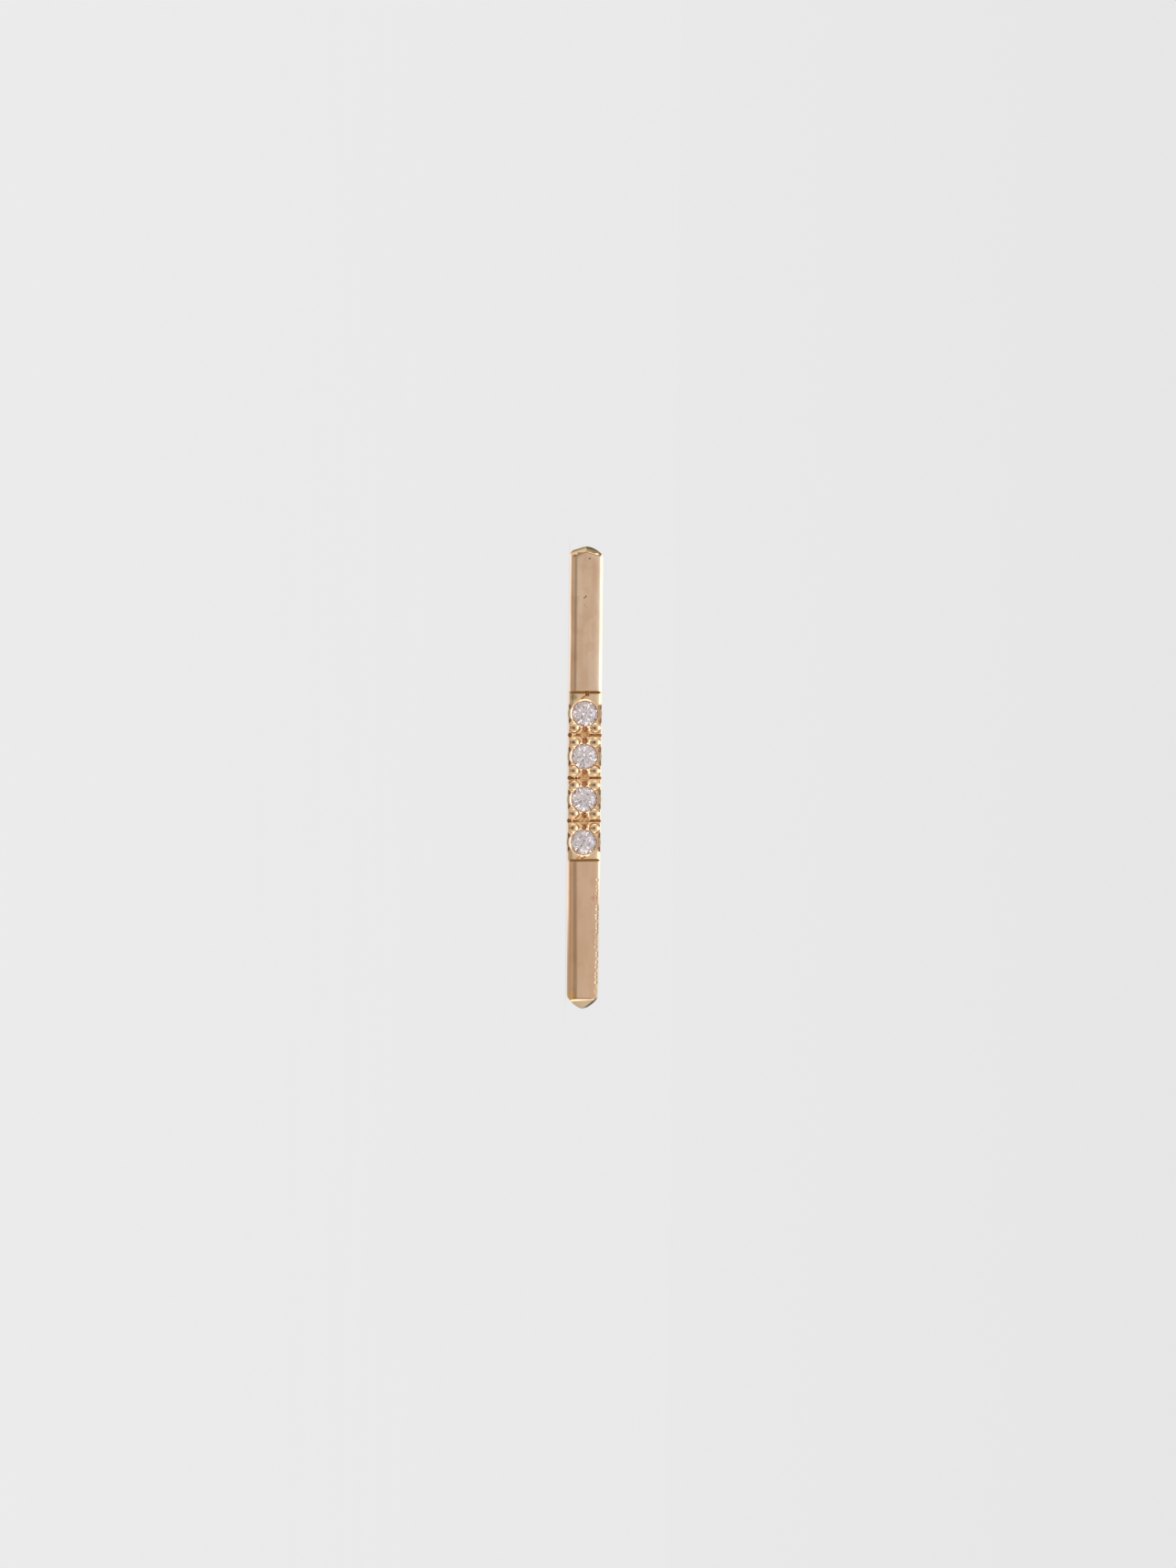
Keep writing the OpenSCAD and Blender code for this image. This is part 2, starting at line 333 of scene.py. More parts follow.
def soft_bar(name, x0, x1, edges, rings=0, narrowing=1.0):
    """A length of the bar's section with rings of vertices along it, made narrower towards x1."""
    obj = box(name, (x0, FACE_Y, -HALF_W), (x1, 0, HALF_W))
    side_from = 0.9 * HALF_W
    bpy.ops.object.mode_set(mode="EDIT")
    pick_edges(obj, lambda mid, way: abs(mid.x - x1) < SAME_PLACE)
    bpy.ops.transform.resize(value=(1, 1, narrowing), center_override=(x1, 0, 0))
    for side, reach in zip((-1, 1), edges):
        pick_edges(obj, lambda mid, way: abs(way.x) > 0.9 and mid.y < FACE_Y / 2 and mid.z * side > side_from)
        steps = max(8, round(reach * STEPS_PER_MM))
        bpy.ops.mesh.bevel(offset=reach, segments=steps, profile=SOFT_PROFILE, affect="EDGES")
    pick_edges(obj, lambda mid, way: abs(way.x) > 0.9 and mid.y > -0.01 and abs(mid.z) > side_from)
    bpy.ops.mesh.bevel(offset=BACK_EDGE, segments=8, profile=0.5, affect="EDGES")
    if rings:
        pick_edges(obj, lambda mid, way: abs(way.x) > 0.9)
        bpy.ops.mesh.subdivide(number_cuts=rings)
        for step in range(-3, 4):
            slice_off((0, 0, step * FACE_STRIP), (0, 0, 1))
    bpy.ops.object.mode_set(mode="OBJECT")
    return obj


def end_prism(name, inner, outer, stations):
    """The outline of one end seen from its face, as a tall prism whose end is drawn out to the stations."""
    low, high = stations[0][0], stations[-1][0]
    obj = box(name, (min(inner, outer), FACE_Y - 1, low), (max(inner, outer), 1, high))
    bpy.ops.object.mode_set(mode="EDIT")
    for across, _ in stations[1:-1]:
        slice_off((0, 0, across), (0, 0, 1))
    for across, along in stations:
        pick_edges(obj, lambda mid, way: abs(way.y) > 0.9 and abs(mid.x - outer) < SAME_PLACE
                   and abs(mid.z - across) < SAME_PLACE)
        bpy.ops.transform.translate(value=(along - outer, 0, 0))
    pick_edges(obj, lambda mid, way: abs(way.y) > 0.9 and abs(mid.x - inner) > 0.01 and low < mid.z < high)
    bpy.ops.mesh.bevel(offset=OUTLINE_ROUND, segments=3, profile=0.5, affect="EDGES", clamp_overlap=True)
    bpy.ops.object.mode_set(mode="OBJECT")
    return obj


def wave(obj, name, noise_scale, height):
    """Moves the hand polished vertices along their normals, by a few microns of soft noise."""
    texture = bpy.data.textures.new(name, "CLOUDS")
    texture.noise_scale = noise_scale
    texture.noise_depth = 0
    apply_modifier(obj, "DISPLACE", texture=texture, texture_coords="LOCAL", strength=height, mid_level=0.5,
                   vertex_group="hand_polished")
    bpy.data.textures.remove(texture)


def wave_surface(obj, joint, fall_depth=0.0):
    """Hand polishing leaves the long faces a few microns out of flat, which bends what they mirror. The waves
    fade out at the joint with the setting. The face can also fall a little towards its lower edge."""
    hand = obj.vertex_groups.new(name="hand_polished")
    lower = obj.vertex_groups.new(name="lower_edge")
    for vertex in obj.data.vertices:
        in_front = vertex.co.y < FACE_Y / 2
        from_joint = abs(vertex.co.x - joint)
        away = min(1.0, from_joint / WAVE_FADE)
        hand.add([vertex.index], away if in_front else 0.5 * away, "REPLACE")
        fall = min(1.0, max(0.0, (FALL_START - vertex.co.z) / FALL_WIDTH))
        along = min(1.0, from_joint / FALL_LENGTH)
        if in_front and fall * along > 0:
            lower.add([vertex.index], fall * fall * along, "REPLACE")
    for name, length, height in WAVES:
        wave(obj, name, length, height)
    if fall_depth:
        apply_modifier(obj, "DISPLACE", direction="Y", strength=fall_depth, mid_level=0.0,
                       vertex_group="lower_edge")
    obj.vertex_groups.clear()


def bevel_end(obj, cuts):
    """Cuts the bevels of one end and softens its sharp edges."""
    select_only(obj)
    bpy.ops.object.mode_set(mode="EDIT")
    for along, across, tilt, way, turn in cuts:
        tilt, turn = math.radians(tilt), math.radians(turn)
        out = (way * math.sin(tilt) * math.cos(turn), -math.cos(tilt), math.sin(tilt) * math.sin(turn))
        slice_off((along, FACE_Y, across), out, clear=True)
    bpy.ops.mesh.select_mode(type="EDGE")
    bpy.ops.mesh.select_all(action="DESELECT")
    bpy.ops.mesh.edges_select_sharp(sharpness=math.radians(SHARP_FROM))
    bpy.ops.mesh.bevel(offset=END_SOFTENING, segments=3, profile=0.5, affect="EDGES", clamp_overlap=True)
    bpy.ops.object.mode_set(mode="OBJECT")


def near_half():
    joint = GROOVE_X[0] + 0.01
    half = soft_bar("bar_gold", NEAR_TIP - 0.1, joint, NEAR_EDGES, HALF_RINGS)
    wave_surface(half, joint)
    combine(half, "INTERSECT", [end_prism("outline", joint + 1, NEAR_TIP, NEAR_OUTLINE)])
    bevel_end(half, NEAR_BEVELS)
    return half


def far_half():
    joint = GROOVE_X[1] - 0.01
    half = soft_bar("far_half", joint, FAR_TIP + 0.1, FAR_EDGES, HALF_RINGS, FOOT_NARROWING)
    wave_surface(half, joint, FALL_DEPTH)
    combine(half, "INTERSECT", [end_prism("outline", joint - 1, FAR_TIP, FAR_OUTLINE)])
    bevel_end(half, FAR_BEVELS)
    return half


def photo_place(column, row):
    """Where a point of the face lies, from its column and row in the picture that the part follows."""
    below = row - MIDDLE_ROW
    along = below * PIXEL + CENTRE_X
    across = (column - MIDDLE_COLUMN + below * math.tan(PICTURE_LEAN)) * PIXEL
    return along, across


def v_line(start, end, half_width, depth):
    """A graver's cut in the face between two (along, across) points."""
    a = Vector((start[0], FACE_Y, start[1]))
    b = Vector((end[0], FACE_Y, end[1]))
    way = (b - a).normalized()
    down = Vector((0, 1, 0))
    bpy.ops.mesh.primitive_cylinder_add(vertices=4, radius=1, depth=(b - a).length,
                                        scale=(half_width, depth, 1))
    obj = placed("v_line")
    turn = Matrix((down.cross(way), down, way)).transposed().to_4x4()
    obj.matrix_world = Matrix.Translation((a + b) / 2) @ turn
    return settle(obj)


def beads_of(side, name, *sizes):
    """One rod or cone round every bead place on one side of the dividers."""
    shift, across = BEAD_PLACE
    return [drilled(name, x + side * shift, out * across, *sizes) for x in DIVIDER_X for out in (-1, 1)]


def cut_pockets(block):
    """What is sawn away between the stones, over the whole width, and the wells drilled beside each stone."""
    combine(block, "DIFFERENCE", [box("pocket", (x - POCKET_HALF, FACE_Y - 0.5, -1),
                                      (x + POCKET_HALF, FACE_Y + POCKET_DEPTH, 1)) for x in DIVIDER_X])
    combine(block, "UNION", [drilled("wall", x, 0, *WALL) for x in STONE_X])
    for side in (-1, 1):
        for name, sizes in (("collar", COLLAR), ("collar_top", COLLAR_TOP)):
            islands = join("islands", beads_of(side, name, *sizes))
            combine(islands, "INTERSECT", [box("width", (0, FACE_Y - 1, -COLLAR_HALF_W),
                                               (9, 1, COLLAR_HALF_W))])
            combine(block, "UNION", [islands])
    for side in (-1, 1):
        combine(block, "DIFFERENCE", beads_of(side, "ring", *RING))
        combine(block, "DIFFERENCE", beads_of(side, "ring_slope", *RING_SLOPE))
    combine(block, "DIFFERENCE", [drilled("well", x + side * WELL_SHIFT, 0, *WELL)
                                  for x in DIVIDER_X for side in (-1, 1)])


def cut_notches(block, rng):
    """Notches in the walls beside each stone, and the knob with its hole at the lower end of each divider."""
    combine(block, "UNION", [drilled("knob", x, out * KNOB_ACROSS, *KNOB)
                             for x in DIVIDER_X for out in (-1, 1)])
    notches = []
    for x in STONE_X:
        for along in (-NOTCH_SHIFT, NOTCH_SHIFT):
            for out in (-1, 1):
                place = x + along + rng.uniform(-0.015, 0.015)
                start, end = ((place, FACE_Y + depth, out * across)
                              for depth, across in zip(NOTCH_DEPTHS, NOTCH_ACROSS))
                notches.append(rod("notch", start, end, rng.uniform(0.075, 0.09), 20))
    combine(block, "DIFFERENCE", notches)
    combine(block, "DIFFERENCE", [drilled("knob_hole", x, KNOB_HOLE_ACROSS, *KNOB_HOLE) for x in DIVIDER_X])


def add_beads(block, rng):
    """Bead prongs with low domes, cut a little unevenly by hand."""
    stems, domes = [], []
    for x in DIVIDER_X:
        for side in (-1, 1):
            for out in (-1, 1):
                place = x + side * BEAD_PLACE[0] + rng.uniform(-0.008, 0.008)
                across = out * (BEAD_PLACE[1] + rng.uniform(-0.008, 0.008))
                radius = BEAD_R * rng.uniform(0.95, 1.03)
                base = BEAD_TOP + BEAD_SPHERE - math.sqrt(BEAD_SPHERE ** 2 - radius ** 2)
                foot = (place, FACE_Y + BEAD_FOOT, across)
                stems.append(rod("stem", foot, (place, base, across), radius, 48))
                dome = ball("dome", (place, BEAD_TOP + BEAD_SPHERE, across), BEAD_SPHERE, steps=96)
                bpy.ops.object.mode_set(mode="EDIT")
                slice_off((0, base + 0.002, 0), (0, 1, 0), clear=True)
                bpy.ops.object.mode_set(mode="OBJECT")
                domes.append(dome)
    combine(block, "UNION", stems)
    combine(block, "UNION", domes)


def add_burrs(block):
    """The small burrs that the graver leaves between the beads."""
    stems, tops = [], []
    for column, row, radius in BURRS:
        along, across = photo_place(column, row)
        stems.append(drilled("burr_stem", along, across, BURR_FOOT, BURR_DEPTH, radius, 14))
        tops.append(ball("burr", (along, FACE_Y + BURR_DEPTH, across), radius * 0.99, steps=14))
    combine(block, "UNION", stems)
    combine(block, "UNION", tops)


def cut_seats(block):
    """Lip, seat, cone and drilled hole for each stone."""
    for name, sizes in (("lip", LIP), ("seat", SEAT), ("cone", CONE), ("bore", BORE)):
        combine(block, "DIFFERENCE", [drilled(name, x, 0, *sizes) for x in STONE_X])


def cut_bright(block):
    """The bright cut: a shining cone cut round each stone with a polished graver."""
    combine(block, "DIFFERENCE", [drilled("bright_cut", x, 0, *BRIGHT_CUT) for x in STONE_X])


def cut_dividers(block, rng):
    """The graver's line across each divider and the short slanting cuts beside the first and last stone."""
    lines = []
    for x in DIVIDER_X:
        slope = rng.uniform(-0.012, 0.012)
        lines.append(v_line((x - slope, -LINE_REACH), (x + slope, LINE_REACH), *CUT_LINE))
    combine(block, "DIFFERENCE", lines)
    low, high = GROOVE_X
    near, far = STONE_X[0] - SEAT_R, STONE_X[3] + SEAT_R
    for start, end, half_width, depth in (
        ((low - 0.02, 0.05), (low + 0.12, 0.07), 0.075, 0.14),
        ((low + 0.07, 0.06), (near - 0.03, -0.14), 0.026, 0.1),
        ((far + 0.01, 0.06), (high - 0.03, -0.12), 0.026, 0.09),
        ((far, -0.12), (high - 0.04, -0.27), 0.022, 0.07),
    ):
        combine(block, "DIFFERENCE", [v_line(start, end, half_width, depth)])


def setting():
    """The engraved middle of the bar, cut from a length of its section and softened as polishing does."""
    rng = random.Random(7)
    low, high = GROOVE_X
    block = soft_bar("setting", low - 0.15, high + 0.15, SETTING_EDGES)
    cut_pockets(block)
    cut_notches(block, rng)
    cut_dividers(block, rng)
    cut_bright(block)
    add_beads(block, rng)
    add_burrs(block)
    cut_seats(block)
    apply_modifier(block, "REMESH", mode="VOXEL", voxel_size=VOXEL, adaptivity=0.0)
    apply_modifier(block, "SMOOTH", factor=0.5, iterations=2)
    apply_modifier(block, "DECIMATE", decimate_type="COLLAPSE", ratio=KEPT_SHARE)
    combine(block, "INTERSECT", [box("keep", (low, FACE_Y - 1, -1), (high, FACE_Y + BASE_DEPTH, 1))])
    return block


def middle_base():
    """The plain back of the bar behind the setting, with the four drilled holes."""
    low, high = GROOVE_X
    base = soft_bar("base", low - 0.2, high + 0.2, SETTING_EDGES)
    combine(base, "INTERSECT", [box("span", (low, FACE_Y + BASE_DEPTH, -1), (high, 1, 1))])
    combine(base, "DIFFERENCE", [rod("bore", (x, -1, 0), (x, 1, 0), BORE_R, 48) for x in STONE_X])
    return base


def ear_post():
    """The post's half profile is drawn on one side of its axis and spun round it, with a fillet of solder."""
    select_none()
    fillet = [(0.5, -0.2), (0.5, 0.0), (0.462, 0.012), (0.43, 0.04), (0.41, 0.085), (POST_R, 0.15)]
    stem = [(POST_R, 1.0 + 1.2 * step) for step in range(8)]
    turns = [k * math.pi / 2 / 20 for k in range(20)]
    tip = [(POST_R * math.cos(turn), POST_L - POST_R + POST_R * math.sin(turn)) for turn in turns]
    profile = [(0, -0.2), *fillet, *stem, *tip, (0, POST_L)]
    bpy.ops.mesh.primitive_plane_add(size=1)
    obj = placed("post")
    bpy.ops.object.mode_set(mode="EDIT")
    bpy.ops.mesh.merge(type="CENTER")
    bpy.ops.mesh.select_mode(type="VERT")
    bpy.ops.mesh.select_all(action="SELECT")
    bpy.ops.transform.translate(value=(*profile[0], 0))
    for (r0, y0), (r1, y1) in zip(profile, profile[1:]):
        bpy.ops.mesh.extrude_region_move(TRANSFORM_OT_translate={"value": (r1 - r0, y1 - y0, 0)})
    bpy.ops.mesh.select_all(action="SELECT")
    bpy.ops.mesh.spin(steps=72, angle=2 * math.pi, center=(0, 0, 0), axis=(0, 1, 0))
    bpy.ops.mesh.select_all(action="SELECT")
    bpy.ops.mesh.remove_doubles(threshold=0.1 * SAME_PLACE)
    bpy.ops.mesh.normals_make_consistent(inside=False)
    bpy.ops.object.mode_set(mode="OBJECT")
    return obj


def end_grooves():
    """The two grooves that close the setting."""
    low, high = GROOVE_X
    return [v_line((low + 0.006, -LINE_REACH), (low - 0.002, LINE_REACH), *END_LINE),
            v_line((high + 0.018, -LINE_REACH), (high - 0.026, LINE_REACH), *END_LINE)]


def wear_marks():
    """Casting pits in the face, and the row of nicks along the upper edge of the far half."""
    rng = random.Random(11)
    pits, nicks = [], []
    for column, row, radius, stretch in PITS:
        along, across = photo_place(column, row)
        pits.append(ball("pit", (along, FACE_Y - radius * 0.2, across), radius, (stretch, 1, 1), 14))
    along = NICKS_FROM
    while along < NICKS_TO:
        across = rng.choice((0.47, 0.47, 0.435)) + rng.uniform(-0.012, 0.02)
        radius = rng.uniform(0.07, 0.15)
        dent = rng.uniform(0.004, 0.013)
        reach = math.sqrt(2 * radius * dent)
        rolled_off = 0.007 + max(0.0, across - 0.45) * 0.4
        nicks.append(ball("nick", (along, FACE_Y - radius + dent + rolled_off, across), radius, steps=16))
        along += reach * 1.6 + rng.uniform(0.0, 0.06) + rng.choice((0, 0, 0.1))
    return pits, nicks


def gold_bar():
    bar = near_half()
    for part in (far_half, middle_base, setting, ear_post):
        combine(bar, "UNION", [part()])
    combine(bar, "DIFFERENCE", end_grooves())
    for marks in wear_marks():
        combine(bar, "DIFFERENCE", marks)
    bar.scale = (MM, MM, MM)
    settle(bar)
    bpy.ops.object.shade_smooth_by_angle(angle=math.radians(32))
    apply_modifier(bar, "WEIGHTED_NORMAL", keep_sharp=True, weight=80)
    return bar


def linear(code):
    """An sRGB hex colour as Blender's linear values."""
    parts = [int(code[k:k + 2], 16) / 255 for k in (1, 3, 5)]
    return tuple(c / 12.92 if c <= 0.04045 else ((c + 0.055) / 1.055) ** 2.4 for c in parts) + (1.0,)


def new_material(name):
    material = bpy.data.materials.new(name)
    material.use_nodes = True
    material.node_tree.nodes.clear()
    return material, material.node_tree


def add(tree, kind, settings=None, **links):
    """Adds a node, sets its own settings, and sets or links its sockets by name or number."""
    made = tree.nodes.new(kind)
    for key, value in (settings or {}).items():
        setattr(made, key, value)
    for key, value in links.items():
        numbered = key[0] == "i" and key[1:].isdigit()
        socket = made.inputs[int(key[1:]) if numbered else key.replace("_", " ")]
        if isinstance(value, bpy.types.NodeSocket):
            tree.links.new(value, socket)
        else:
            socket.default_value = value
    return made


def set_ramp(ramp, stops):
    """Places a ramp's stops, each a position from 0 to 1 and a linear colour."""
    while len(ramp.elements) > 1:
        ramp.elements.remove(ramp.elements[-1])
    for k, (place, colour) in enumerate(stops):
        stop = ramp.elements[0] if k == 0 else ramp.elements.new(place)
        stop.position = place
        stop.color = colour


def lay_over(tree, colour, reads, layers):
    """Lays colours over a first one. A layer has its name, colour, share and limits, and a limit is a reading
    with the two values between which the layer fades in. Gives the last colour and the layers' masks."""
    masks = {}
    for name, cover, share, *limits in layers:
        mask = share
        for reading, start, end in limits:
            fade = add(tree, "ShaderNodeMapRange", {"interpolation_type": "SMOOTHSTEP"},
                       i0=reads[reading], i1=start, i2=end).outputs[0]
            mask = add(tree, "ShaderNodeMath", {"operation": "MULTIPLY"}, i0=fade, i1=mask).outputs[0]
        masks[name] = mask
        mixed = add(tree, "ShaderNodeMix", {"data_type": "RGBA"}, i0=mask, i6=colour, i7=cover)
        colour = mixed.outputs[2]
    return colour, masks


def gold_readings(tree, place):
    """What the gold's layers are placed by, in millimetres: how far a point lies along, below and beside the
    bar's middle, from some marks, and from the parts of the setting that repeat round every divider."""
    metric = add(tree, "ShaderNodeVectorMath", {"operation": "SCALE"}, i0=place, Scale=1 / MM).outputs[0]
    axes = add(tree, "ShaderNodeSeparateXYZ", Vector=metric)
    reads = {"along": axes.outputs["X"], "depth": axes.outputs["Y"], "up": axes.outputs["Z"]}
    reads["side"] = add(tree, "ShaderNodeMath", {"operation": "ABSOLUTE"}, i0=reads["up"]).outputs[0]
    middle = add(tree, "ShaderNodeMath", {"operation": "SUBTRACT"}, i0=reads["along"], i1=sum(GROOVE_X) / 2)
    reads["middle"] = add(tree, "ShaderNodeMath", {"operation": "ABSOLUTE"}, i0=middle.outputs[0]).outputs[0]
    for name, (along, across) in MARKS.items():
        reads[name] = add(tree, "ShaderNodeVectorMath", {"operation": "DISTANCE"}, i0=metric,
                          i1=(along, FACE_Y, across)).outputs["Value"]
    reads["near_bevel"] = add(tree, "ShaderNodeMath", {"operation": "MULTIPLY_ADD"}, i0=reads["side"],
                              i1=NEAR_BEVEL_SLANT, i2=reads["along"]).outputs[0]
    reads["painted_foot_rim"] = add(tree, "ShaderNodeVectorMath", {"operation": "DOT_PRODUCT"}, i0=metric,
                            i1=FOOT_RIM_WAY).outputs["Value"]
    # The setting is folded on its dividers and on the bar's middle line, and for the beads also so that both
    # rows fall together. A soft noise keeps the repeats from looking alike.
    half_pitch = (DIVIDER_X[1] - DIVIDER_X[0]) / 2
    start = add(tree, "ShaderNodeMath", {"operation": "SUBTRACT"}, i0=reads["along"], i1=DIVIDER_X[0])
    fold = add(tree, "ShaderNodeMath", {"operation": "PINGPONG"}, i0=start.outputs[0],
               i1=half_pitch).outputs[0]
    row = 2 * BEAD_PLACE[1]
    lifted = add(tree, "ShaderNodeMath", {"operation": "ADD"}, i0=reads["up"], i1=row).outputs[0]
    rows = add(tree, "ShaderNodeMath", {"operation": "FLOORED_MODULO"}, i0=lifted, i1=row).outputs[0]
    wander = add(tree, "ShaderNodeTexNoise", Vector=metric, Scale=3.2, Detail=1.0).outputs["Color"]
    reads["divider"] = fold
    for name, across, spot in (
        ("knob", reads["side"], (0.0, 0.5)),
        ("notch", reads["side"], (0.47, 0.53)),
        ("channel", reads["side"], (0.2, 0.0)),
        ("centre", reads["side"], (0.0, 0.03)),
        ("bead", rows, (BEAD_PLACE[0], BEAD_PLACE[1] - 0.03)),
        ("bead_heart", rows, (BEAD_PLACE[0] - 0.01, BEAD_PLACE[1] - 0.02)),
    ):
        folded = add(tree, "ShaderNodeCombineXYZ", X=fold, Y=across).outputs[0]
        moved = add(tree, "ShaderNodeVectorMath", {"operation": "MULTIPLY_ADD"}, i0=wander,
                    i1=(DRIFT, DRIFT, 0), i2=folded).outputs[0]
        target = (spot[0] + DRIFT / 2, spot[1] + DRIFT / 2, 0)
        reads[name] = add(tree, "ShaderNodeVectorMath", {"operation": "DISTANCE"}, i0=moved,
                          i1=target).outputs["Value"]
    return reads


def gold_material():
    """14 carat rose-yellow gold, cast, filed and polished by hand. Polishing gives a nearly sharp mirror with
    a faint drag along the bar, and what the wheel can't reach between the beads stays duller; its browner
    colour there is painted shade."""
    material, tree = new_material("gold_14_carat_hand_polished")
    place = add(tree, "ShaderNodeTexCoord").outputs["Object"]
    reads = gold_readings(tree, place)
    # The alloy's tone wanders a little, in streaks about 1.5 mm long and 0.4 mm wide.
    long_way, wide_way = 1 / (1.5 * MM), 1 / (0.4 * MM)
    streaks = add(tree, "ShaderNodeMapping", Vector=place, Scale=(long_way, wide_way, wide_way))
    tone = add(tree, "ShaderNodeTexNoise", Vector=streaks.outputs[0], Scale=1.0, Detail=4.0)
    blotch = add(tree, "ShaderNodeTexNoise", Vector=place, Scale=1 / (0.35 * MM), Detail=2.0)
    reads.update(tone=tone.outputs["Fac"], blotch=blotch.outputs["Fac"])
    colour, masks = lay_over(tree, linear("#E8BD97"), reads, gold_layers())
    # Wheel marks: 0.03 mm across and about 1 mm long, coarser than real ones so that they show.
    grain_size = (1.0 * MM, 0.05 * MM, 0.03 * MM)
    grain = add(tree, "ShaderNodeMapping", Vector=place, Scale=tuple(1 / size for size in grain_size))
    marks = add(tree, "ShaderNodeTexNoise", Vector=grain.outputs[0], Scale=1.0, Detail=3.0)
    gloss = add(tree, "ShaderNodeMapRange", Value=marks.outputs["Fac"], i1=0.3, i2=0.75, i3=0.04, i4=0.11)
    dull = add(tree, "ShaderNodeMath", {"operation": "MAXIMUM"}, i0=masks["duller_shaded_recess"], i1=masks["pits"])
    rough = add(tree, "ShaderNodeMix", i0=dull.outputs[0], i2=gloss.outputs[0], i3=0.18)
    bump = add(tree, "ShaderNodeBump", Height=marks.outputs["Fac"], Strength=0.03, Distance=0.004 * MM)
    shader = add(tree, "ShaderNodeBsdfPrincipled", Base_Color=colour, Roughness=rough.outputs[0],
                 Metallic=1.0, Normal=bump.outputs[0])
    add(tree, "ShaderNodeOutputMaterial", Surface=shader.outputs[0])
    return material


